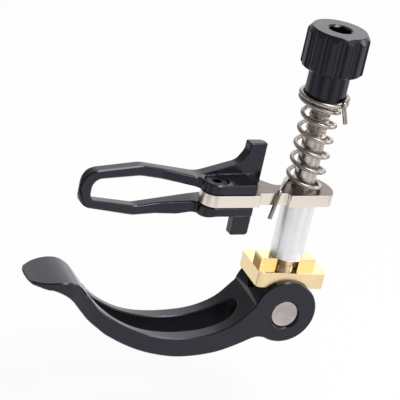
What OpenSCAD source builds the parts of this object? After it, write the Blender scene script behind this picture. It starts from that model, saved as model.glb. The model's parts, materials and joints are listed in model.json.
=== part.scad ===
// Quick-release seatpost clamp that carries a sprung frame hook on the same bolt.
// Millimetres. +Z runs up the clamp bolt, and z = 0 is the saddle's seat face.
// The cam lever reaches towards -X from a pivot pin that lies along Y.

/* [Clamp bolt] */
// diameter of the plain shank that the sleeve, plate and spring sit on
shank_d = 6.4; // [5.6:0.1:7]
// diameter of the threaded ends
thread_d = 6; // [5:0.1:6.4]
// height of the shank's upper end
shank_top = 40.4; // [34:0.2:46]
// how far the bolt reaches up inside the thumb nut
nut_grip = 11; // [8:0.5:13]

/* [Pivot pin and cam] */
// distance from the seat face down to the pivot pin's axis
pin_drop = 12.6; // [12:0.1:14]
// pivot pin diameter
pin_d = 8; // [7:0.1:9]
// how far each end of the pin lies below the lever's cheek
pin_recess = 0.7; // [0.1:0.05:1.4]
// depth of the countersink round each end of the pin
pin_sink = 0.8; // [0.3:0.1:1.2]
// cam radius of the lever's head
cam_r = 9.45; // [9:0.05:9.8]
// cam centre, sideways from the pin
cam_x = -0.45; // [-0.8:0.05:-0.2]
// cam centre, above the pin
cam_z = 0.95; // [0.6:0.05:1.1]

/* [Lever] */
// width over the cheeks
lever_w = 17.7; // [16:0.1:20]
// reach from the pin to the tip of the thumb pad
lever_reach = 76.5; // [70:0.5:88]
// depth of the arm's bow below the pin
lever_bow = 14.2; // [12:0.2:17]
// width of the fork slot that clears the bolt
fork_w = 7; // [6.8:0.1:8]
// width of the long slot in the arm
arm_slot_w = 9; // [6:0.2:10]

/* [Saddle] */
// length across the cam groove
saddle_x = 20.8; // [19:0.2:24]
// width along the pin
saddle_y = 14.8; // [13:0.2:17]
// thickness at the feet
saddle_t = 4.6; // [4:0.1:5.5]
// height of the two keys
key_h = 2.2; // [1.5:0.1:3]
// width of each key
key_x = 5; // [4:0.1:6]
// length of each key along the pin
key_y = 5; // [4:0.1:6]
// gap between the keys
key_gap = 6.8; // [6.6:0.1:8]
// how much larger the groove's radius is than the cam's, so that the cam can roll in it
groove_ease = 0.75; // [0.7:0.05:1.5]

/* [Sleeve and link plate] */
// outside diameter of the sleeve, the barrel that the frame's lug takes
sleeve_d = 9.5; // [9:0.1:11]
// height of the link plate's lower face
plate_z = 20.3; // [17:0.1:24]
// thickness of the link plate
plate_t = 3.6; // [3:0.1:4.4]
// radius of the plate's eye round the bolt
bolt_eye_r = 8.9; // [8:0.1:10]
// distance from the bolt to the hook screw
link_len = 29.3; // [27.5:0.1:31]

/* [Hook] */
// turn of the hook arm about the bolt, as photographed
hook_yaw = 6.8; // [0:0.1:12]
// thickness of the hook's flat part
hook_t = 3.2; // [2.6:0.1:3.8]
// height of the cross bar
bar_h = 28.2; // [22:0.2:32]
// width of the cross bar
bar_w = 5.5; // [4.6:0.1:6.4]
// length of the finger loop beyond the hook screw
loop_len = 38.8; // [34:0.2:44]
// height of the finger loop at its widest
loop_h = 14.7; // [12:0.1:17]
// thickness of the holder above the plate
holder_t = 3.1; // [2.8:0.1:4]
// thickness of the holder below the plate
holder_low_t = 2.75; // [2.4:0.05:3.6]

/* [Return spring] */
// wire diameter
wire_d = 1.25; // [1:0.05:1.4]
// radius of the wire's centre line in the coils
coil_r = 4.85; // [4.6:0.05:5.2]
// length of the lower leg below the plate's top face
leg_len = 7.4; // [5:0.2:10]

/* [Thumb nut] */
// height of the neck's lower edge
nut_z = 50.9; // [48:0.1:56]
// height of the neck
neck_h = 8.7; // [7.5:0.1:10]
// radius of the neck
neck_r = 5.8; // [5.4:0.05:6.2]
// height of the fluted head
head_h = 11.6; // [10:0.1:14]
// radius of the fluted head
head_r = 8.8; // [8:0.1:10]
// number of flutes
flutes = 12; // [8:1:16]
// depth of a flute
flute_depth = 0.7; // [0.3:0.05:1]
// width across the flats of the hexagon socket
socket_af = 6; // [5:0.5:6.5]

/* [Hidden] */
$fn = 64;
run_gap = 0.05;
seat_gap = 0.02;
pin_z = -pin_drop;
plate_top = plate_z + plate_t;
plate_mid = plate_z + plate_t / 2;
front_v = -6.4;
back_v = 5.3;
flat_v = 1.4;
screw_v = -2.4;
eye_r = screw_v - front_v;
screw_d = 4;
bore_r = 3.2;
bore_depth = 2.1;
nut_top = nut_z + neck_h + head_h;
black = [0.13, 0.13, 0.14];
steel = [0.72, 0.70, 0.67];
alloy = [0.85, 0.86, 0.87];
gold = [0.86, 0.68, 0.38];

lever();
pivot_pin();
saddle();
bolt();
sleeve();
link_plate();
hook();
hook_screw();
return_spring();
thumb_nut();

// Vectors and outlines

function unit(v) = v / norm(v);
function flip_x(p) = [for (q = p) [-q[0], q[1], q[2]]];

// A smooth open curve through points, with n steps between neighbours
function curve(p, n = 5) = concat(
    [for (i = [0 : len(p) - 2])
        for (k = [0 : n - 1])
            let (a = p[max(i - 1, 0)], b = p[i], c = p[i + 1], d = p[min(i + 2, len(p) - 1)], t = k / n)
                0.5 * (2 * b + (c - a) * t + (2 * a - 5 * b + 4 * c - d) * t * t
                       + (3 * b - a - 3 * c + d) * t * t * t)],
    [p[len(p) - 1]]);

// The arc that rounds corner b between a and c
function corner(a, b, c, r, n) =
    let (u = unit(a - b),
         w = unit(c - b),
         half = acos(u * w) / 2,
         mid = b + unit(u + w) * r / sin(half),
         s = b + u * r / tan(half) - mid,
         e = b + w * r / tan(half) - mid,
         t0 = atan2(s[1], s[0]),
         turn = atan2(s[0] * e[1] - s[1] * e[0], s * e))
        [for (k = [0 : n]) mid + r * [cos(t0 + turn * k / n), sin(t0 + turn * k / n)]];

// A closed outline whose corners [x, y, r] are rounded by r
function rounded(p, n = 6) =
    let (m = len(p), q = [for (c = p) [c[0], c[1]]])
        [for (i = [0 : m - 1])
            each p[i][2] == 0 ? [q[i]] : corner(q[(i + m - 1) % m], q[i], q[(i + 1) % m], p[i][2], n)];

// Extrudes an XZ outline along Y from y0 to y1
module across(y0, y1) {
    translate([0, y1, 0])
        rotate([90, 0, 0])
            linear_extrude(y1 - y0)
                children();
}

// A round bar along Y
module cross_bar(r, length) {
    rotate([90, 0, 0])
        cylinder(r = r, h = length, center = true);
}

// Cam lever: fork head, bowed arm with a long slot, and thumb pad, in one piece

function reach(p) = [for (q = p) [q[0] * lever_reach / 76.5, q[1] < 0 ? q[1] * lever_bow / 14.2 : q[1]]];

arm_top = reach([[-6.2, 8], [-7.6, 6.2], [-8.7, 3.9], [-11.1, 0.9], [-14.8, -3.1], [-19.6, -5.9],
                 [-25.2, -7.6], [-33, -8.4], [-41, -7.7], [-48.1, -5.4], [-53.8, -2.1], [-58, 1.7],
                 [-61.5, 5.6], [-64.6, 7.4], [-68, 7.6], [-71.8, 7], [-74.4, 6.5], [-76.4, 6.2]]);
arm_under = reach([[-76.5, 5.8], [-74.6, 5.3], [-72, 5.2], [-68.2, 4.5], [-64.3, 2.3], [-60.4, -1.9],
                   [-56.8, -5.5], [-50.2, -9.9], [-42, -13], [-33, -14.2], [-25.7, -13.8],
                   [-18.6, -12.3], [-12.5, -9.7], [-8.5, -7.6], [-6, -7.2], [-3, -7.9]]);
// half width of the lever in plan, as a share of the cheeks' half width
arm_half = [[12, 1], [0, 1], [-22, 1], [-31, 0.98], [-38, 0.9], [-45, 0.78], [-52, 0.69], [-57, 0.68],
            [-61, 0.77], [-65, 0.91], [-68.5, 0.93], [-72, 0.85], [-74.8, 0.65], [-76.2, 0.36], [-76.5, 0]];
slot_half = [[-11.7, 0], [-12.3, 0.5], [-14.5, 0.88], [-18, 1], [-30, 1], [-43, 0.97], [-48, 0.85],
             [-53, 0.6], [-56.6, 0.3], [-58, 0]];

// both sides of a half-width curve, scaled to half width w
function both_sides(p, w) =
    let (c = curve([for (q = p) [q[0] * (q[0] < -20 ? lever_reach / 76.5 : 1), q[1] * w]], 4))
        concat(c, [for (i = [len(c) - 1 : -1 : 0]) if (c[i][1] > 0.01) [c[i][0], -c[i][1]]]);

module lever() {
    color(black)
        translate([0, 0, pin_z])
            difference() {
                intersection() {
                    union() {
                        translate([cam_x, 0, cam_z])
                            cross_bar(cam_r, lever_w);
                        across(-lever_w / 2, lever_w / 2)
                            polygon(concat(curve(arm_top, 4), curve(arm_under, 4), [[0, 0]]));
                    }
                    translate([0, 0, -25])
                        linear_extrude(50)
                            polygon(both_sides(arm_half, lever_w / 2));
                }
                cross_bar(pin_d / 2 + run_gap, lever_w + 2);
                for (s = [-1, 1])
                    rotate([s * 90, 0, 0])
                        translate([0, 0, lever_w / 2 - pin_sink])
                            cylinder(r1 = pin_d / 2 + run_gap, r2 = pin_d / 2 + run_gap + pin_sink, h = pin_sink + 0.01);
                translate([-5.8, -fork_w / 2, -25])
                    cube([30, fork_w, 50]);
                translate([-5.8, 0, -25])
                    cylinder(d = fork_w, h = 50);
                translate([0, 0, -25])
                    linear_extrude(50)
                        polygon(both_sides(slot_half, arm_slot_w / 2));
            }
}

// Pivot pin, tapped across for the bolt
module pivot_pin() {
    color(steel)
        translate([0, 0, pin_z])
            difference() {
                cross_bar(pin_d / 2, lever_w - 2 * pin_recess);
                cylinder(d = thread_d + 2 * seat_gap, h = pin_d + 2, center = true);
            }
}

// Saddle: slides on the bolt, rides on the cam below and carries two keys above
module saddle() {
    color(gold)
        difference() {
            union() {
                translate([0, 0, -saddle_t])
                    linear_extrude(saddle_t)
                        polygon(rounded([[-saddle_x / 2, -saddle_y / 2, 1.4], [saddle_x / 2, -saddle_y / 2, 1.4],
                                         [saddle_x / 2, saddle_y / 2, 1.4], [-saddle_x / 2, saddle_y / 2, 1.4]]));
                for (s = [-1, 1])
                    translate([s * (key_gap + key_x) / 2, 0, key_h / 2 - 0.1])
                        cube([key_x, key_y, key_h + 0.2], center = true);
            }
            translate([cam_x, 0, pin_z + cam_z + run_gap - groove_ease])
                cross_bar(cam_r + groove_ease, saddle_y + 2);
            cylinder(d = thread_d + 2 * run_gap, h = 40, center = true);
        }
}

// Clamp bolt: threaded into the pin below and into the thumb nut above
module bolt() {
    foot = pin_z - pin_d / 2 + 0.4;
    step = key_h + 0.6;
    color(steel) {
        translate([0, 0, foot])
            cylinder(d = thread_d, h = step - foot);
        translate([0, 0, step])
            cylinder(d = shank_d, h = shank_top - step);
        translate([0, 0, shank_top])
            cylinder(d = thread_d, h = nut_z + nut_grip - shank_top);
    }
}

// Sleeve: the barrel between the keys and the link plate
module sleeve() {
    low = key_h + seat_gap;
    color(alloy)
        translate([0, 0, low])
            difference() {
                cylinder(d = sleeve_d, h = plate_z - seat_gap - low);
                translate([0, 0, -1])
                    cylinder(d = shank_d + 2 * run_gap, h = plate_z + 2);
            }
}

// The hook arm is drawn along -X and turned about the bolt
module on_arm() {
    rotate([0, 0, hook_yaw])
        children();
}

// Link plate: a broad eye on the bolt, a narrow eye on the hook screw, and a notch for the spring's leg
module link_plate() {
    // the eye's round end, between two lines that touch it at 38 degrees either side
    end_u = (bolt_eye_r + front_v * sin(38)) / cos(38);
    end_v = bolt_eye_r * tan(19);
    edge = rounded(flip_x([[-end_u, front_v, 2.2], [7, front_v, 0.4], [7, front_v + 1.7, 0.6],
                           [16.4, front_v + 1.7, 0.6], [16.4, front_v, 0.4], [link_len, front_v, 0],
                           [link_len, screw_v + eye_r, 0], [link_len - 4.5, back_v, 2], [12.3, back_v, 1.2],
                           [8.7, 1, 2.2], [5.3, 1, 1.2], [1, -front_v, 0.8], [-end_u, -front_v, 2.2],
                           [-bolt_eye_r, end_v, bolt_eye_r - 0.2], [-bolt_eye_r, -end_v, bolt_eye_r - 0.2]]));
    color(steel)
        on_arm()
            difference() {
                translate([0, 0, plate_z])
                    union() {
                        linear_extrude(plate_t)
                            polygon(edge);
                        translate([-link_len, screw_v, 0])
                            cylinder(r = eye_r, h = plate_t);
                    }
                cylinder(d = shank_d + 2 * run_gap, h = 100);
                translate([-link_len, screw_v, 0])
                    cylinder(d = screw_d + 2 * run_gap, h = 100);
            }
}

// Hook: finger loop, cross bar and the split holder that takes the plate, in one piece
module hook() {
    mid = link_len + 21.4;
    tip = link_len + loop_len;
    bar_in = 13.3;
    bar_out = bar_in + bar_w;
    up = loop_h / 2;
    rib = plate_t / 2 + holder_t;
    low_rib = plate_t / 2 + holder_low_t;
    half_gap = plate_t / 2 + seat_gap;
    back = flat_v + hook_t;
    holder_end = bar_in + 4.9;
    side = rounded(flip_x([[tip, 5.3, 5.4], [mid, up, 8], [33, 4.7, 9],
                           [bar_out + 2, 8.2, 4], [bar_out, 11.5, 3], [bar_out, bar_h / 2, 0.4],
                           [bar_in, bar_h / 2, 0.4], [bar_in, -bar_h / 2, 0.9], [bar_out, -bar_h / 2, 0.4],
                           [bar_out + 0.2, -low_rib, 2.2], [29.5, -low_rib, 6], [38, -6.7, 9], [mid, -up - 0.2, 8],
                           [tip, -4.8, 5]]), 8);
    hole = rounded(flip_x([[tip - 3.6, 3.1, 2.9], [mid, up - 3.1, 7], [33.6, half_gap, 1],
                           [30, half_gap, 0], [30, -half_gap, 0], [33.6, -half_gap - 0.4, 1],
                           [mid, -up + 2.7, 7], [tip - 3.6, -2.9, 2.1]]), 8);
    plan = rounded(flip_x([[bar_in, back, 1.6], [tip, back, 2.6], [tip, flat_v, 0], [44, flat_v, 9],
                           [link_len + eye_r, -0.8, 2], [link_len + eye_r, front_v, eye_r - 0.1],
                           [holder_end, front_v, 0.4], [holder_end, flat_v, 0.6], [bar_in, flat_v, 0]]), 8);
    color(black)
        on_arm()
            difference() {
                intersection() {
                    translate([0, 0, plate_mid])
                        across(front_v, back)
                            polygon(side);
                    linear_extrude(60)
                        polygon(plan);
                }
                translate([0, 0, plate_mid])
                    across(front_v - 1, back + 1)
                        polygon(hole);
                translate([-32, front_v - 1, plate_mid - half_gap])
                    cube([40, back - front_v + 2, 2 * half_gap]);
                translate([-34, front_v - 1, plate_mid + rib])
                    cube([40, flat_v - front_v + 1, 30]);
                translate([-26, front_v - 1, plate_mid - low_rib - 30])
                    cube([16, flat_v - front_v + 1, 30]);
                translate([-link_len, screw_v, plate_mid + rib - bore_depth])
                    cylinder(r = bore_r, h = 30);
                translate([-link_len, screw_v, plate_mid])
                    cylinder(d = screw_d + 2 * run_gap, h = 20);
                translate([-link_len, screw_v, 0])
                    cylinder(d = screw_d + 2 * seat_gap, h = plate_mid);
            }
}

// Hook screw: a low cap screw with a hexagon socket, sunk in the holder
module hook_screw() {
    seat = plate_top + holder_t - bore_depth + seat_gap;
    foot = plate_z - holder_low_t + 0.3;
    color(black)
        on_arm()
            translate([-link_len, screw_v, 0])
                difference() {
                    union() {
                        translate([0, 0, foot])
                            cylinder(d = screw_d, h = seat + 0.5 - foot);
                        translate([0, 0, seat])
                            cylinder(r = bore_r - 0.2, h = 1.8);
                    }
                    translate([0, 0, seat + 0.6])
                        cylinder(d = 2.9, h = 3, $fn = 6);
                }
}

// Return spring: a left-hand coil. Its foot lies on the plate and drops through the notch,
// and its top turns are wound wide round the nut's neck and end in a short leg.

foot_z = plate_top + seat_gap + wire_d / 2;
ring_r = neck_r + wire_d / 2 + 0.12;
ring_z = nut_z + wire_d / 2 + 0.575;
foot_u = 10.4;
foot_v = front_v + 1.7 - wire_d / 2 - 0.05;
tangent = atan2(foot_v, foot_u) + acos(coil_r / norm([foot_u, foot_v]));
top_turn = 2763;
// rise along the wire by turned angle, from the foot (0) to the top turn (1)
rise = [[tangent, 0], [202, 0.004], [382, 0.098], [562, 0.183], [1642, 0.685], [1822, 0.764], [2002, 0.837],
        [2092, 0.895], [2182, 0.935], [2362, 0.951], [2420, 0.955], [2542, 0.982], [2722, 0.998], [top_turn, 1]];
spread = [[tangent, 0], [1780, 0], [2002, 0.06], [2092, 0.55], [2182, 0.97], [2362, 1], [top_turn, 1]];

function wire_at(a) =
    let (r = coil_r + (ring_r - coil_r) * lookup(a, spread),
         z = foot_z + (ring_z - foot_z) * lookup(a, rise))
        [-r * cos(a), r * sin(a), z];
last = wire_at(top_turn);
path = concat(
    [[-foot_u - 1.3, foot_v, plate_top - leg_len], [-foot_u - 0.9, foot_v, plate_top - leg_len * 0.6],
     [-foot_u - 0.3, foot_v, plate_top - 1.1], [-foot_u - 0.1, foot_v + 0.12, foot_z - 0.75],
     [-foot_u + 0.2, foot_v + 0.4, foot_z - 0.2], [-foot_u + 0.6, foot_v + 0.9, foot_z]],
    [for (k = [0 : 116]) wire_at(tangent + (top_turn - 6 - tangent) * k / 116)],
    [last + [-0.25, -0.35, -0.08], last + [-0.45, -0.85, -0.6], last + [-0.35, -1.1, -1.4],
     last + [0.25, -1.3, -3.4], last + [0.95, -1.45, -5.8]]);

module return_spring() {
    sides = 8;
    steps = len(path);
    heading = [for (i = [0 : steps - 1]) unit(path[min(i + 1, steps - 1)] - path[max(i - 1, 0)])];
    across_wire = [for (i = 0, n = unit(cross(heading[0], [0, 1, 0])); i < steps;
                        n = unit(n - (n * heading[min(i + 1, steps - 1)]) * heading[min(i + 1, steps - 1)]),
                        i = i + 1) n];
    rings = [for (i = [0 : steps - 1])
                let (n = across_wire[i], b = cross(heading[i], n))
                    for (k = [0 : sides - 1])
                        path[i] + wire_d / 2 * (n * cos(360 * k / sides) + b * sin(360 * k / sides))];
    walls = [for (i = [0 : steps - 2])
                for (k = [0 : sides - 1])
                    [i * sides + k, i * sides + (k + 1) % sides, (i + 1) * sides + (k + 1) % sides,
                     (i + 1) * sides + k]];
    ends = [[for (k = [sides - 1 : -1 : 0]) k], [for (k = [0 : sides - 1]) (steps - 1) * sides + k]];
    color(steel)
        on_arm()
            polyhedron(rings, [for (f = concat(walls, ends)) [for (j = [len(f) - 1 : -1 : 0]) f[j]]]);
}

// Thumb nut: fluted head and neck in one piece, with a hexagon socket in the top
module thumb_nut() {
    head_z = nut_z + neck_h;
    color(black)
        difference() {
            rotate_extrude()
                polygon([[0, nut_z], [neck_r - 0.7, nut_z], [neck_r, nut_z + 0.7], [neck_r, head_z],
                         [head_r - 0.6, head_z], [head_r, head_z + 0.5], [head_r, nut_top - 1.5],
                         [head_r - 1.1, nut_top], [0, nut_top]]);
            for (k = [0 : flutes - 1])
                rotate([0, 0, (k + 0.5) * 360 / flutes])
                    translate([head_r + 2.4 - flute_depth, 0, head_z - 1])
                        cylinder(r = 2.4, h = head_h + 2, $fn = 32);
            translate([0, 0, nut_z - 1])
                cylinder(d = thread_d + 2 * run_gap, h = nut_grip + 2);
            translate([0, 0, nut_top - 6])
                cylinder(d = socket_af / cos(30), h = 7, $fn = 6);
            translate([0, 0, nut_top - 0.6])
                cylinder(r1 = socket_af / 2, r2 = socket_af / 2 + 0.7, h = 0.61);
        }
}
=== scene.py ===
"""Dresses the quick-release seatpost clamp: black lever, hook and thumb nut, gold saddle, bright sleeve.

Metres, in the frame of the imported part: +Z up the clamp bolt, z = 0 on the saddle's seat face.
"""

import json
import math

import bmesh
import bpy
from mathutils import Matrix, Vector


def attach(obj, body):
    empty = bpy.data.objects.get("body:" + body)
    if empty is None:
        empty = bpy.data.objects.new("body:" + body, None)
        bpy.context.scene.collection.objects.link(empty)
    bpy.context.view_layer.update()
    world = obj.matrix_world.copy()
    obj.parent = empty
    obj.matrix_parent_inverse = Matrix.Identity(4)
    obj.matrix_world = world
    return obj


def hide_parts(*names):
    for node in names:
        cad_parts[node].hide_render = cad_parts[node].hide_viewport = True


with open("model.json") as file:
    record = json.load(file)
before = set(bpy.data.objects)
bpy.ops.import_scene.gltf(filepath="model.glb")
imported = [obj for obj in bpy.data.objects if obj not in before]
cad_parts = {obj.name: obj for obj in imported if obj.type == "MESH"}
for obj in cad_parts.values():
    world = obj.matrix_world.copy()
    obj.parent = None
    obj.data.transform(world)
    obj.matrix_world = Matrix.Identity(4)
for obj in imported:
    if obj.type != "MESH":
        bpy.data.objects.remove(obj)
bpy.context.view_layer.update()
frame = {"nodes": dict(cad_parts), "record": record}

MM = 0.001
SCENE = bpy.context.scene

# Angles between faces, in degrees: merged as one face, rounded off, shaded as an edge, and folded over
MERGE, ROUND_OFF, SHADE_SHARP, FOLDED = 0.3, 26, 32, 140
# Bevel widths that a face must measure across to be bevelled, and that a bevel keeps from a fold
NARROW, FOLD_ROOM = 2.2, 1.2

# The lever's slot and the steep step under the saddle, in millimetres
SLOT_SIDE, SLOT_RIM, SLOT_FROM, SLOT_TO = 4.8, 5.0, -59, -11
STEP_FROM, STEP_TO = -9.5, -5
# The pin's cross hole lies within this distance of its middle, in millimetres
CROSS_HOLE_REACH = 6


def linear(hex_colour):
    """An sRGB hex value as linear RGBA."""
    parts = [int(hex_colour[i:i + 2], 16) / 255 for i in (1, 3, 5)]
    return [c / 12.92 if c <= 0.04045 else ((c + 0.055) / 1.055) ** 2.4 for c in parts] + [1.0]


def add(tree, kind, settings=None, links=None, **attributes):
    """Adds a node. Settings and links go by input name or number, and a link is (node, output)."""
    made = tree.nodes.new(kind)
    for key, value in attributes.items():
        setattr(made, key, value)
    for key, value in (settings or {}).items():
        made.inputs[key].default_value = value
    for key, (source, output) in (links or {}).items():
        tree.links.new(source.outputs[output], made.inputs[key])
    return made


# Materials

def begin(name):
    """A material with an empty Principled shader, its tree and its Object coordinates."""
    material = bpy.data.materials.new(name)
    material.use_nodes = True
    tree = material.node_tree
    tree.nodes.clear()
    place = add(tree, "ShaderNodeTexCoord")
    shader = add(tree, "ShaderNodeBsdfPrincipled")
    add(tree, "ShaderNodeOutputMaterial", links={"Surface": (shader, "BSDF")})
    return material, tree, place, shader


def black_anodised(name, smooth, rough, mirror):
    """Aluminium, dyed black: a clear oxide skin that mirrors the studio softly over a near-black body."""
    material, tree, place, shader = begin(name)
    shader.inputs["IOR"].default_value = 1.52
    shader.inputs["Specular IOR Level"].default_value = mirror
    shader.inputs["Specular Tint"].default_value = linear("#ebe9ff")
    # polishing lines of about 0.1 mm, drawn at 0.3 mm so that they show
    lay = add(tree, "ShaderNodeMapping", {"Scale": (0.06, 1.0, 1.0)}, {"Vector": (place, "Object")})
    lines = add(tree, "ShaderNodeTexNoise", {"Scale": 1 / (0.3 * MM), "Detail": 2.0, "Roughness": 0.6},
                {"Vector": (lay, "Vector")})
    # faint clouds in the dye, some 9 mm across
    cloud = add(tree, "ShaderNodeTexNoise", {"Scale": 1 / (9 * MM), "Detail": 3.0, "Roughness": 0.55},
                {"Vector": (place, "Object")})
    tone = add(tree, "ShaderNodeValToRGB", links={"Fac": (cloud, "Fac")})
    tone.color_ramp.elements[0].position = 0.3
    tone.color_ramp.elements[0].color = linear("#08080a")
    tone.color_ramp.elements[1].position = 0.75
    tone.color_ramp.elements[1].color = linear("#0e0e12")
    gloss = add(tree, "ShaderNodeMapRange",
                {"From Min": 0.3, "From Max": 0.7, "To Min": smooth, "To Max": rough},
                {"Value": (cloud, "Fac")})
    bump = add(tree, "ShaderNodeBump", {"Strength": 0.06, "Distance": 0.01 * MM}, {"Height": (lines, "Fac")})
    tree.links.new(tone.outputs["Color"], shader.inputs["Base Color"])
    tree.links.new(gloss.outputs["Result"], shader.inputs["Roughness"])
    tree.links.new(bump.outputs["Normal"], shader.inputs["Normal"])
    return material


def turned_metal(name, colour, shade, roughness, pitch_mm, along, depth=0.002):
    """A bright metal with tool lines: rings of one pitch across the given axis of the part."""
    material, tree, place, shader = begin(name)
    shader.inputs["Metallic"].default_value = 1.0
    stretch = {"y": (0.02, 1.0, 0.02), "z": (0.02, 0.02, 1.0)}[along]
    lay = add(tree, "ShaderNodeMapping", {"Scale": stretch}, {"Vector": (place, "Object")})
    lines = add(tree, "ShaderNodeTexNoise", {"Scale": 1 / (pitch_mm * MM), "Detail": 3.0, "Roughness": 0.65},
                {"Vector": (lay, "Vector")})
    # handling marks, some 5 mm across
    marks = add(tree, "ShaderNodeTexNoise", {"Scale": 1 / (5 * MM), "Detail": 4.0, "Roughness": 0.6},
                {"Vector": (place, "Object")})
    tone = add(tree, "ShaderNodeValToRGB", links={"Fac": (marks, "Fac")})
    tone.color_ramp.elements[0].position = 0.35
    tone.color_ramp.elements[0].color = linear(shade)
    tone.color_ramp.elements[1].position = 0.65
    tone.color_ramp.elements[1].color = linear(colour)
    gloss = add(tree, "ShaderNodeMapRange",
                {"From Min": 0.3, "From Max": 0.7, "To Min": roughness - 0.05, "To Max": roughness + 0.07},
                {"Value": (lines, "Fac")})
    bump = add(tree, "ShaderNodeBump", {"Strength": 0.4, "Distance": depth * MM}, {"Height": (lines, "Fac")})
    tree.links.new(tone.outputs["Color"], shader.inputs["Base Color"])
    tree.links.new(gloss.outputs["Result"], shader.inputs["Roughness"])
    tree.links.new(bump.outputs["Normal"], shader.inputs["Normal"])
    return material


def gold_anodised():
    """Aluminium, dyed pale gold: the top is polished to a mirror, the sides keep upright milling lines."""
    material, tree, place, shader = begin("gold_anodised_aluminium")
    shader.inputs["Metallic"].default_value = 1.0
    # milling lines 0.35 mm apart, upright on the sides
    lay = add(tree, "ShaderNodeMapping", {"Scale": (1.0, 1.0, 0.03)}, {"Vector": (place, "Object")})
    lines = add(tree, "ShaderNodeTexNoise", {"Scale": 1 / (0.35 * MM), "Detail": 2.0, "Roughness": 0.6},
                {"Vector": (lay, "Vector")})
    facing = add(tree, "ShaderNodeSeparateXYZ", links={"Vector": (place, "Normal")})
    side = add(tree, "ShaderNodeMapRange", {"From Min": 0.95, "From Max": 0.6}, {"Value": (facing, "Z")})
    tone = add(tree, "ShaderNodeValToRGB", links={"Fac": (lines, "Fac")})
    tone.color_ramp.elements[0].position = 0.3
    tone.color_ramp.elements[0].color = linear("#f0d4a4")
    tone.color_ramp.elements[1].position = 0.7
    tone.color_ramp.elements[1].color = linear("#fbe6ba")
    gloss = add(tree, "ShaderNodeMapRange", {"To Min": 0.07, "To Max": 0.34}, {"Value": (side, "Result")})
    depth = add(tree, "ShaderNodeMath", {1: 0.35}, {0: (side, "Result")}, operation="MULTIPLY")
    bump = add(tree, "ShaderNodeBump", {"Distance": 0.004 * MM},
               {"Height": (lines, "Fac"), "Strength": (depth, "Value")})
    tree.links.new(tone.outputs["Color"], shader.inputs["Base Color"])
    tree.links.new(gloss.outputs["Result"], shader.inputs["Roughness"])
    tree.links.new(bump.outputs["Normal"], shader.inputs["Normal"])
    return material


def nickel_plate():
    """Steel sheet, blanked and nickel plated: dull faces with a fine grain, painted dark as painted shade,
    and sheared edges painted bright as a painted highlight.
    """
    material, tree, place, shader = begin("nickel_plated_sheet")
    shader.inputs["Metallic"].default_value = 1.0
    # rolling grain 0.25 mm wide, along the plate
    lay = add(tree, "ShaderNodeMapping", {"Scale": (0.04, 1.0, 1.0)}, {"Vector": (place, "Object")})
    grain = add(tree, "ShaderNodeTexNoise", {"Scale": 1 / (0.25 * MM), "Detail": 2.0, "Roughness": 0.6},
                {"Vector": (lay, "Vector")})
    facing = add(tree, "ShaderNodeSeparateXYZ", links={"Vector": (place, "Normal")})
    upright = add(tree, "ShaderNodeMath", links={0: (facing, "Z")}, operation="ABSOLUTE")
    flat = add(tree, "ShaderNodeMapRange", {"From Min": 0.6, "From Max": 0.95}, {"Value": (upright, "Value")})
    grain_and_painted_shade = add(tree, "ShaderNodeValToRGB", links={"Fac": (grain, "Fac")})
    grain_and_painted_shade.color_ramp.elements[0].position = 0.3
    grain_and_painted_shade.color_ramp.elements[0].color = linear("#776f6a")
    grain_and_painted_shade.color_ramp.elements[1].position = 0.7
    grain_and_painted_shade.color_ramp.elements[1].color = linear("#8d8580")
    # painted light: upright faces take the pale colour as a painted highlight, flat faces the dark grain as
    # painted shade
    # inputs 0, 6 and 7 of a colour mix are its factor and its two colours, and output 2 is the mixed colour
    tone = add(tree, "ShaderNodeMix", {6: linear("#efe5da")}, {0: (flat, "Result"), 7: (grain_and_painted_shade, "Color")},
               data_type="RGBA")
    gloss = add(tree, "ShaderNodeMapRange", {"To Min": 0.26, "To Max": 0.36}, {"Value": (flat, "Result")})
    tree.links.new(tone.outputs[2], shader.inputs["Base Color"])
    tree.links.new(gloss.outputs["Result"], shader.inputs["Roughness"])
    return material


# polished before dyeing: deep black with soft mirror lights along every edge
BLACK = black_anodised("black_anodised_aluminium", 0.14, 0.21, 0.5)
# left as milled, in the lever's slot and on the steep step under the saddle: dull, with its mirror turned low
# as painted shade
MILLED_AND_SHADED = black_anodised("black_anodised_milled_shaded", 0.4, 0.5, 0.12)
GOLD = gold_anodised()
NICKEL = nickel_plate()
# fine turned rings that spread the light into pale upright bands
SATIN = turned_metal("satin_turned_aluminium", "#f8f8fa", "#f1f1f4", 0.36, 0.22, "z")
# warm grey with hard bands of light and dark
BOLT_STEEL = turned_metal("plain_turned_steel", "#d8d1cc", "#bab1ab", 0.24, 0.3, "z")
# a faced end, matte and slightly mottled
PIN_STEEL = turned_metal("matte_turned_steel", "#cfc6c4", "#b4aaa8", 0.45, 0.35, "y", 0.006)
# smooth drawn wire with one bright line along each turn
SPRING_STEEL = turned_metal("drawn_stainless_wire", "#bab2aa", "#9a928b", 0.2, 0.4, "z")
# oiled black oxide, a little greyer than the dyed pieces round it
BLACK_STEEL = turned_metal("black_oxide_steel", "#2c2c31", "#202025", 0.34, 0.3, "z")


# Pieces

def finish_piece(mesh, name, node, material):
    """Puts a finished mesh on the node's body in the node's place."""
    piece = bpy.data.objects.new(name, mesh)
    SCENE.collection.objects.link(piece)
    mesh.materials.clear()
    mesh.materials.append(material)
    body = next(b for b, nodes in frame["record"]["behaviour"]["bodies"].items() if node in nodes)
    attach(piece, body)
    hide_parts(node)
    return piece


def flat_faces(mesh):
    """Weights the normals by area: large faces mirror flat and only the rounded edges bend the light."""
    holder = bpy.data.objects.new("holder", mesh)
    SCENE.collection.objects.link(holder)
    holder.modifiers.new("weights", "WEIGHTED_NORMAL").keep_sharp = True
    made = bpy.data.meshes.new_from_object(holder.evaluated_get(bpy.context.evaluated_depsgraph_get()))
    bpy.data.objects.remove(holder)
    return made


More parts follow.
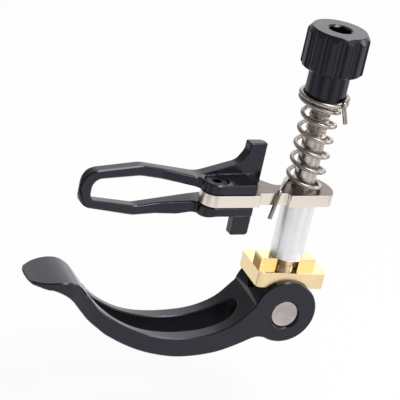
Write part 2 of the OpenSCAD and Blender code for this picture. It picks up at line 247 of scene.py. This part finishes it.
def merged_solid(node):
    """The node's solid with its triangles merged into whole faces."""
    bm = bmesh.new()
    bm.from_mesh(frame["nodes"][node].data)
    bmesh.ops.remove_doubles(bm, verts=bm.verts, dist=1e-6)
    bmesh.ops.dissolve_limit(bm, angle_limit=math.radians(MERGE), verts=bm.verts, edges=bm.edges)
    return bm


def middle(edge):
    return (edge.verts[0].co + edge.verts[1].co) / 2


def has_room(edge, width):
    """Whether both faces of an edge are wide enough for a bevel of this width."""
    return min(f.calc_area() for f in edge.link_faces) > NARROW * width * edge.calc_length()


def is_clear(edge, width, folds):
    """Whether an edge keeps away from the places where an earlier try folded over."""
    reach = 0.5 * edge.calc_length() + FOLD_ROOM * width
    return all((middle(edge) - spot).length > reach for spot in folds)


def broken_edges(node, width_mm, segments=2, clamp=True, left_sharp=None, tries=1):
    """The node's solid with every sharp edge rounded a little, as a tumbled or deburred piece has it.

    With clamp, the narrowest face limits all edges. Without it, edges of narrow faces stay sharp and the
    others get the full width. More tries leave the edges sharp where the last try folded over.
    """
    width = width_mm * MM
    folds = []
    for tries_left in reversed(range(tries)):
        bm = merged_solid(node)
        sharp = [e for e in bm.edges
                 if len(e.link_faces) == 2 and e.calc_face_angle() > math.radians(ROUND_OFF)]
        if left_sharp:
            sharp = [e for e in sharp if not left_sharp(e)]
        if not clamp:
            sharp = [e for e in sharp if has_room(e, width) and is_clear(e, width, folds)]
        bmesh.ops.bevel(bm, geom=sharp, offset=width, offset_type="OFFSET", segments=segments, profile=0.5,
                        affect="EDGES", clamp_overlap=clamp, loop_slide=True)
        bmesh.ops.dissolve_degenerate(bm, dist=1e-6, edges=bm.edges)
        bad = [middle(e) for e in bm.edges
               if len(e.link_faces) != 2 or e.calc_face_angle() > math.radians(FOLDED)]
        if not bad or not tries_left:
            break
        folds += bad
        bm.free()
    mesh = bpy.data.meshes.new(node + "_edges")
    bm.to_mesh(mesh)
    bm.free()
    mesh.shade_smooth()
    mesh.set_sharp_from_angle(angle=math.radians(SHADE_SHARP))
    return flat_faces(mesh)


def below_slot(edge):
    """Whether an edge is on the lower rim of the lever's slot, which nobody touches."""
    faces_down = any(f.normal.z < -0.3 for f in edge.link_faces)
    return faces_down and all(abs(v.co.y) < SLOT_RIM * MM for v in edge.verts)


def cross_hole(edge):
    """Whether an edge is on the pin's cross hole, inside the lever."""
    return all(abs(v.co.y) < CROSS_HOLE_REACH * MM for v in edge.verts)


def cam_lever():
    """The lever, with the walls of its slot and the step under the saddle left as milled, their mirror turned
    low as painted shade.
    """
    mesh = broken_edges("lever", 0.3, 1, clamp=False, left_sharp=below_slot, tries=3)
    piece = finish_piece(mesh, "cam_lever", "lever", BLACK)
    piece.data.materials.append(MILLED_AND_SHADED)
    # painted shade: the slot's walls and the step take the weak-mirror black
    for face in piece.data.polygons:
        x, y = face.center.x / MM, face.center.y / MM
        wall = abs(face.normal.z) < 0.05 and abs(y) < SLOT_SIDE and SLOT_FROM < x < SLOT_TO
        step = STEP_FROM < x < STEP_TO and face.normal.x < -0.4 and face.normal.z > 0.1
        face.material_index = int(wall or step)


cam_lever()
finish_piece(broken_edges("hook", 0.35, 1, clamp=False), "frame_hook", "hook", BLACK)
finish_piece(broken_edges("thumb_nut", 0.25), "fluted_nut", "thumb_nut", BLACK)
finish_piece(broken_edges("saddle", 0.3, 3), "gold_saddle", "saddle", GOLD)
finish_piece(broken_edges("sleeve", 0.2), "clamp_sleeve", "sleeve", SATIN)
finish_piece(broken_edges("link_plate", 0.25), "steel_link", "link_plate", NICKEL)
finish_piece(broken_edges("pivot_pin", 0.4, 2, clamp=False, left_sharp=cross_hole), "cross_pin", "pivot_pin",
             PIN_STEEL)
finish_piece(broken_edges("hook_screw", 0.12), "cap_screw", "hook_screw", BLACK_STEEL)


def baked(tree, curve, inputs, name):
    """The plain mesh that a Geometry Nodes tree makes from a curve, with inputs set by their identifiers."""
    source = bpy.data.objects.new(name + "_path", curve)
    SCENE.collection.objects.link(source)
    step = source.modifiers.new(name, "NODES")
    step.node_group = tree
    for item in tree.interface.items_tree:
        if item.item_type == "SOCKET" and item.in_out == "INPUT" and item.name in inputs:
            step[item.identifier] = inputs[item.name]
    made = source.evaluated_get(bpy.context.evaluated_depsgraph_get())
    mesh = bpy.data.meshes.new_from_object(made)
    source.modifiers.remove(step)
    bpy.data.objects.remove(source)
    return mesh


def open_tree(name, sockets):
    """A Geometry Nodes tree with named float or material inputs."""
    tree = bpy.data.node_groups.new(name, "GeometryNodeTree")
    tree.interface.new_socket("Geometry", in_out="INPUT", socket_type="NodeSocketGeometry")
    for label, kind in sockets:
        tree.interface.new_socket(label, in_out="INPUT", socket_type=kind)
    tree.interface.new_socket("Geometry", in_out="OUTPUT", socket_type="NodeSocketGeometry")
    return tree, add(tree, "NodeGroupInput")


def close_tree(tree, inputs, last, output):
    """Ends a tree in Realize Instances and Set Material."""
    real = add(tree, "GeometryNodeRealizeInstances", links={"Geometry": (last, output)})
    smooth = add(tree, "GeometryNodeSetShadeSmooth", links={"Geometry": (real, "Geometry")})
    coat = add(tree, "GeometryNodeSetMaterial",
               links={"Geometry": (smooth, "Geometry"), "Material": (inputs, "Material")})
    add(tree, "NodeGroupOutput", links={"Geometry": (coat, "Geometry")})


def poly_curve(name, points):
    """An open curve through points in millimetres."""
    curve = bpy.data.curves.new(name, "CURVE")
    curve.dimensions = "3D"
    line = curve.splines.new("POLY")
    line.points.add(len(points) - 1)
    for spot, point in zip(line.points, points):
        spot.co = (point[0] * MM, point[1] * MM, point[2] * MM, 1.0)
    return curve


def wire_tree():
    """A round wire along a curve."""
    tree, inputs = open_tree("wire", [("Wire Diameter", "NodeSocketFloat"),
                                      ("Material", "NodeSocketMaterial")])
    half = add(tree, "ShaderNodeMath", {1: 0.5}, {0: (inputs, "Wire Diameter")}, operation="MULTIPLY")
    ring = add(tree, "GeometryNodeCurvePrimitiveCircle", {"Resolution": 16}, {"Radius": (half, "Value")})
    tube = add(tree, "GeometryNodeCurveToMesh", {"Fill Caps": True},
               {"Curve": (inputs, "Geometry"), "Profile Curve": (ring, "Curve")})
    close_tree(tree, inputs, tube, "Mesh")
    return tree


# The return spring's sizes, in millimetres, as the part has them
YAW = math.radians(6.8)
PLATE_TOP, NUT_Z, WIRE, COIL_R, NECK_R = 23.9, 50.9, 1.25, 4.85, 5.8
FOOT_U, FOOT_V, LEG = 10.4, -6.4 + 1.7 - 1.25 / 2 - 0.05, 7.4
FOOT_Z, RING_R, RING_Z = PLATE_TOP + 0.02 + WIRE / 2, NECK_R + WIRE / 2 + 0.12, NUT_Z + WIRE / 2 + 0.575
TANGENT = math.degrees(math.atan2(FOOT_V, FOOT_U) + math.acos(COIL_R / math.hypot(FOOT_U, FOOT_V)))
TOP_TURN = 2763
# how far up and how far out the wire is at each angle, as shares of the whole
RISE = [(TANGENT, 0), (202, 0.004), (382, 0.098), (562, 0.183), (1642, 0.685), (1822, 0.764), (2002, 0.837),
        (2092, 0.895), (2182, 0.935), (2362, 0.951), (2420, 0.955), (2542, 0.982), (2722, 0.998),
        (TOP_TURN, 1)]
SPREAD = [(TANGENT, 0), (1780, 0), (2002, 0.06), (2092, 0.55), (2182, 0.97), (2362, 1), (TOP_TURN, 1)]


def read_off(table, at):
    """The value of a table at one angle, on straight lines between its rows."""
    for (a, va), (b, vb) in zip(table, table[1:]):
        if at <= b:
            return va + (vb - va) * (max(at, a) - a) / (b - a)
    return table[-1][1]


def wire_at(angle):
    """The wire's middle at one angle of its turns, in degrees."""
    radius = COIL_R + (RING_R - COIL_R) * read_off(SPREAD, angle)
    turn = math.radians(angle)
    height = FOOT_Z + (RING_Z - FOOT_Z) * read_off(RISE, angle)
    return (-radius * math.cos(turn), radius * math.sin(turn), height)


def rounded_line(points, rounds=3):
    """Cuts the corners of a line of points, so that the wire bends smoothly."""
    for _ in range(rounds):
        cut = [points[0]]
        for a, b in zip(points, points[1:]):
            cut.append(tuple(0.75 * p + 0.25 * q for p, q in zip(a, b)))
            cut.append(tuple(0.25 * p + 0.75 * q for p, q in zip(a, b)))
        points = cut + [points[-1]]
    return points


def spring_path():
    """The wire from the leg in the plate's notch, up the coil, to the bent leg at the top."""
    foot = rounded_line([(-FOOT_U - 1.3, FOOT_V, PLATE_TOP - LEG), (-FOOT_U - 0.3, FOOT_V, PLATE_TOP - 1.1),
                         (-FOOT_U + 0.05, FOOT_V + 0.2, FOOT_Z - 0.05), (-FOOT_U + 0.6, FOOT_V + 0.9, FOOT_Z),
                         wire_at(TANGENT)])
    coil = [wire_at(TANGENT + (TOP_TURN - 6 - TANGENT) * k / 340) for k in range(1, 341)]
    end = wire_at(TOP_TURN)
    leg = [tuple(e + d for e, d in zip(end, step)) for step in ((-0.25, -0.35, -0.08), (-0.5, -0.95, -0.45),
                                                               (-0.35, -1.1, -1.5), (0.25, -1.3, -3.4),
                                                               (0.95, -1.45, -5.8))]
    path = foot + coil[:-1] + rounded_line([coil[-1]] + leg)
    return [(x * math.cos(YAW) - y * math.sin(YAW), x * math.sin(YAW) + y * math.cos(YAW), z)
            for x, y, z in path]


spring = baked(wire_tree(), poly_curve("spring", spring_path()),
               {"Wire Diameter": WIRE * MM, "Material": SPRING_STEEL}, "coil")
finish_piece(spring, "torsion_spring", "return_spring", SPRING_STEEL)


def thread_tree():
    """A screw thread: a trapezoid ridge swept along a helix round the Z axis, lifted by the foot."""
    tree, inputs = open_tree("thread", [("Pitch", "NodeSocketFloat"), ("Length", "NodeSocketFloat"),
                                        ("Core Radius", "NodeSocketFloat"), ("Foot", "NodeSocketFloat"),
                                        ("Height", "NodeSocketFloat"), ("Material", "NodeSocketMaterial")])
    turns = add(tree, "ShaderNodeMath", links={0: (inputs, "Length"), 1: (inputs, "Pitch")},
                operation="DIVIDE")
    helix = add(tree, "GeometryNodeCurveSpiral", {"Resolution": 36},
                {"Rotations": (turns, "Value"), "Start Radius": (inputs, "Core Radius"),
                 "End Radius": (inputs, "Core Radius"), "Height": (inputs, "Length")})
    upright = add(tree, "GeometryNodeSetCurveNormal", links={"Curve": (helix, "Curve")}, mode="Z_UP")
    ridge = add(tree, "GeometryNodeCurvePrimitiveQuadrilateral", mode="TRAPEZOID",
                links={"Height": (inputs, "Height")})
    foot = add(tree, "ShaderNodeMath", {1: 0.92}, {0: (inputs, "Pitch")}, operation="MULTIPLY")
    crest = add(tree, "ShaderNodeMath", {1: 0.14}, {0: (inputs, "Pitch")}, operation="MULTIPLY")
    tree.links.new(foot.outputs["Value"], ridge.inputs["Bottom Width"])
    tree.links.new(crest.outputs["Value"], ridge.inputs["Top Width"])
    ridge.inputs["Offset"].default_value = 0.0
    out = add(tree, "GeometryNodeTransform", {"Rotation": (0, 0, math.pi / 2)},
              {"Geometry": (ridge, "Curve")})
    swept = add(tree, "GeometryNodeCurveToMesh", {"Fill Caps": True},
                {"Curve": (upright, "Curve"), "Profile Curve": (out, "Geometry")})
    rise = add(tree, "ShaderNodeCombineXYZ", links={"Z": (inputs, "Foot")})
    placed = add(tree, "GeometryNodeTransform",
                 links={"Geometry": (swept, "Mesh"), "Translation": (rise, "Vector")})
    close_tree(tree, inputs, placed, "Geometry")
    return tree


def bolt_mesh():
    """Plain foot and shank, and a threaded end: a turned core with a helical ridge round its top."""
    low, step, top, end = -16.2, 2.8, 40.4, 61.9
    core, foot, shank = 2.5, 3.0, 3.2
    outline = [(0, low), (foot - 0.4, low), (foot, low + 0.4), (foot, step - 0.1), (shank - 0.15, step),
               (shank, step + 0.2), (shank, top - 0.4), (shank - 0.3, top), (core, top + 0.3),
               (core, end - 0.5), (core - 0.5, end), (0, end)]
    bm = bmesh.new()
    line = [bm.verts.new((r * MM, 0, z * MM)) for r, z in outline]
    edges = [bm.edges.new(pair) for pair in zip(line, line[1:])]
    bmesh.ops.spin(bm, geom=line + edges, cent=(0, 0, 0), axis=(0, 0, 1), angle=math.tau, steps=64)
    bmesh.ops.remove_doubles(bm, verts=bm.verts, dist=1e-6)
    ridge = baked(thread_tree(), poly_curve("thread", [(0, 0, 0), (0, 0, 1)]),
                  {"Pitch": 1.0 * MM, "Length": (end - top - 1.4) * MM, "Core Radius": (core + 0.25) * MM,
                   "Foot": (top + 0.6) * MM, "Height": 0.5 * MM, "Material": BOLT_STEEL}, "ridge")
    bm.from_mesh(ridge)
    bmesh.ops.recalc_face_normals(bm, faces=bm.faces)
    mesh = bpy.data.meshes.new("bolt_turned")
    bm.to_mesh(mesh)
    bm.free()
    mesh.shade_smooth()
    mesh.set_sharp_from_angle(angle=math.radians(SHADE_SHARP))
    return mesh


finish_piece(bolt_mesh(), "clamp_bolt", "bolt", BOLT_STEEL)


# Studio: a pale floor, soft light and a white surround

FLOOR_Z, FLOOR_HALF = -0.045, 6.0
# the share of the paper that is plain white to the camera and the metal, and the rest keeps the shadow
PAPER_WHITE = 0.9
# painted reflection: in the metal the paper's glow has six darker gaps, as if soft panels stood round the
# object, and this turns the gaps, in radians
PAINTED_GAP_COUNT, PAINTED_GAP_TURN, GAP_DEPTH = 6.0, -3.04, 0.7
AIM = Vector((-0.03, 0, 0.02))
# name, place and side in metres, power in watts
LAMPS = (("overhead", (0.2, -0.22, 0.75), 0.35, 3.2),
         ("front", (0.35, -0.85, 0.42), 0.9, 2.6),
         ("right", (0.8, -0.1, 0.3), 0.4, 1.2),
         ("screen", (0.42, 0.95, 0.46), 1.0, 1.1))


def white_paper():
    """Seamless white paper, white to the camera. In the metal its glow is painted: it dims far from the
    object and to the left, and shows six dark gaps.
    """
    paper = bpy.data.materials.new("white_paper")
    paper.use_nodes = True
    tree = paper.node_tree
    tree.nodes.clear()
    ray = add(tree, "ShaderNodeLightPath")
    diffuse = add(tree, "ShaderNodeBsdfDiffuse", {"Color": linear("#f4f4f4")})
    spot = add(tree, "ShaderNodeTexCoord")
    far = add(tree, "ShaderNodeVectorMath", links={0: (spot, "Object")}, operation="LENGTH")
    where = add(tree, "ShaderNodeSeparateXYZ", links={"Vector": (spot, "Object")})
    # the painted gaps begin some way out
    bearing = add(tree, "ShaderNodeMath", links={0: (where, "X"), 1: (where, "Y")}, operation="ARCTAN2")
    swing = add(tree, "ShaderNodeMath", {1: PAINTED_GAP_COUNT, 2: PAINTED_GAP_TURN}, {0: (bearing, "Value")},
                operation="MULTIPLY_ADD")
    wave = add(tree, "ShaderNodeMath", links={0: (swing, "Value")}, operation="COSINE")
    gap = add(tree, "ShaderNodeMapRange", {"From Min": 1.0, "From Max": -1.0}, {"Value": (wave, "Value")})
    reach = add(tree, "ShaderNodeMapRange", {"From Min": 0.14, "From Max": 0.24, "To Max": GAP_DEPTH},
                {"Value": (far, "Value")})
    dip = add(tree, "ShaderNodeMath", links={0: (gap, "Result"), 1: (reach, "Result")}, operation="MULTIPLY")
    lit = add(tree, "ShaderNodeMath", {0: 1.0}, {1: (dip, "Value")}, operation="SUBTRACT")
    dim = add(tree, "ShaderNodeMapRange", {"From Min": 0.15, "From Max": 0.32, "To Min": 1.0, "To Max": 0.85},
              {"Value": (far, "Value")})
    near = add(tree, "ShaderNodeMath", links={0: (lit, "Value"), 1: (dim, "Result")}, operation="MULTIPLY")
    left = add(tree, "ShaderNodeMapRange",
               {"From Min": -0.6, "From Max": -0.2, "To Min": 0.25, "To Max": 1.0}, {"Value": (where, "X")})
    fade = add(tree, "ShaderNodeMath", links={0: (near, "Value"), 1: (left, "Result")}, operation="MULTIPLY")
    bright = add(tree, "ShaderNodeMath", links={0: (ray, "Is Camera Ray"), 1: (fade, "Value")},
                 operation="MAXIMUM")
    glow = add(tree, "ShaderNodeEmission", {"Color": (1, 1, 1, 1)}, {"Strength": (bright, "Value")})
    seen = add(tree, "ShaderNodeMath", links={0: (ray, "Is Camera Ray"), 1: (ray, "Is Glossy Ray")},
               operation="MAXIMUM")
    share = add(tree, "ShaderNodeMath", {1: PAPER_WHITE}, {0: (seen, "Value")}, operation="MULTIPLY")
    mix = add(tree, "ShaderNodeMixShader",
              links={"Fac": (share, "Value"), 1: (diffuse, "BSDF"), 2: (glow, "Emission")})
    add(tree, "ShaderNodeOutputMaterial", links={"Surface": (mix, "Shader")})
    return paper


def floor():
    mesh = bpy.data.meshes.new("floor")
    bm = bmesh.new()
    bmesh.ops.create_grid(bm, x_segments=1, y_segments=1, size=FLOOR_HALF)
    bm.to_mesh(mesh)
    bm.free()
    mesh.materials.append(white_paper())
    sheet = bpy.data.objects.new("floor", mesh)
    sheet.location = (0, 0, FLOOR_Z)
    SCENE.collection.objects.link(sheet)


def surround():
    """White to the camera. The metal mirrors a white screen at the right back and a dark room at the left."""
    world = bpy.data.worlds.new("white_tent")
    SCENE.world = world
    world.use_nodes = True
    tree = world.node_tree
    tree.nodes.clear()
    ray = add(tree, "ShaderNodeLightPath")
    aim = add(tree, "ShaderNodeTexCoord")
    depth = add(tree, "ShaderNodeVectorMath", {1: (0.95, 0.3, 0.0)}, {0: (aim, "Generated")},
                operation="DOT_PRODUCT")
    room = add(tree, "ShaderNodeMapRange", {"From Min": -0.2, "From Max": 0.6, "To Min": 0.3, "To Max": 1.0},
               {"Value": (depth, "Value")})
    tent = add(tree, "ShaderNodeBackground", {"Color": (1, 1, 1, 1)}, {"Strength": (room, "Result")})
    soft = add(tree, "ShaderNodeBackground", {"Color": (1, 1, 1, 1), "Strength": 0.5})
    white = add(tree, "ShaderNodeBackground", {"Color": (1, 1, 1, 1), "Strength": 1.0})
    glossy = add(tree, "ShaderNodeMixShader", links={"Fac": (ray, "Is Glossy Ray"), 1: (soft, "Background"),
                                                     2: (tent, "Background")})
    seen = add(tree, "ShaderNodeMath", links={0: (ray, "Is Camera Ray"), 1: (ray, "Is Transmission Ray")},
               operation="MAXIMUM")
    mix = add(tree, "ShaderNodeMixShader",
              links={"Fac": (seen, "Value"), 1: (glossy, "Shader"), 2: (white, "Background")})
    add(tree, "ShaderNodeOutputWorld", links={"Surface": (mix, "Shader")})


def lamps():
    """Soft square lamps that all face the object."""
    for name, place, side, watts in LAMPS:
        lamp = bpy.data.lights.new(name, "AREA")
        lamp.shape = "SQUARE"
        lamp.size = side
        lamp.energy = watts
        light = bpy.data.objects.new(name, lamp)
        light.location = place
        light.visible_camera = False
        light.rotation_euler = (AIM - Vector(place)).to_track_quat("-Z", "Y").to_euler()
        SCENE.collection.objects.link(light)


# The focal length that fits the photograph, and the photograph's width, both in pixels
FOCAL_PX, FRAME_PX, SENSOR_MM = 2151.2, 400, 36.0
EYE = Vector((-0.25605, -0.50095, 0.24600))


def camera():
    """The photograph's viewpoint: from the left and above, turned so that the bolt leans to the right."""
    lens = bpy.data.cameras.new("photo_camera")
    lens.sensor_width = SENSOR_MM
    lens.lens = FOCAL_PX / FRAME_PX * SENSOR_MM
    lens.clip_start = 0.01
    lens.clip_end = 20.0
    view = bpy.data.objects.new("photo_camera", lens)
    right = Vector((0.9238, -0.3252, 0.2020))
    down = Vector((0.0455, -0.4307, -0.9014))
    ahead = Vector((0.3801, 0.8419, -0.3831))
    turn = Matrix((right, -down, -ahead)).transposed()
    view.matrix_world = Matrix.Translation(EYE) @ turn.to_4x4()
    SCENE.collection.objects.link(view)
    SCENE.camera = view


floor()
surround()
lamps()
camera()
SCENE.view_settings.view_transform = "Standard"
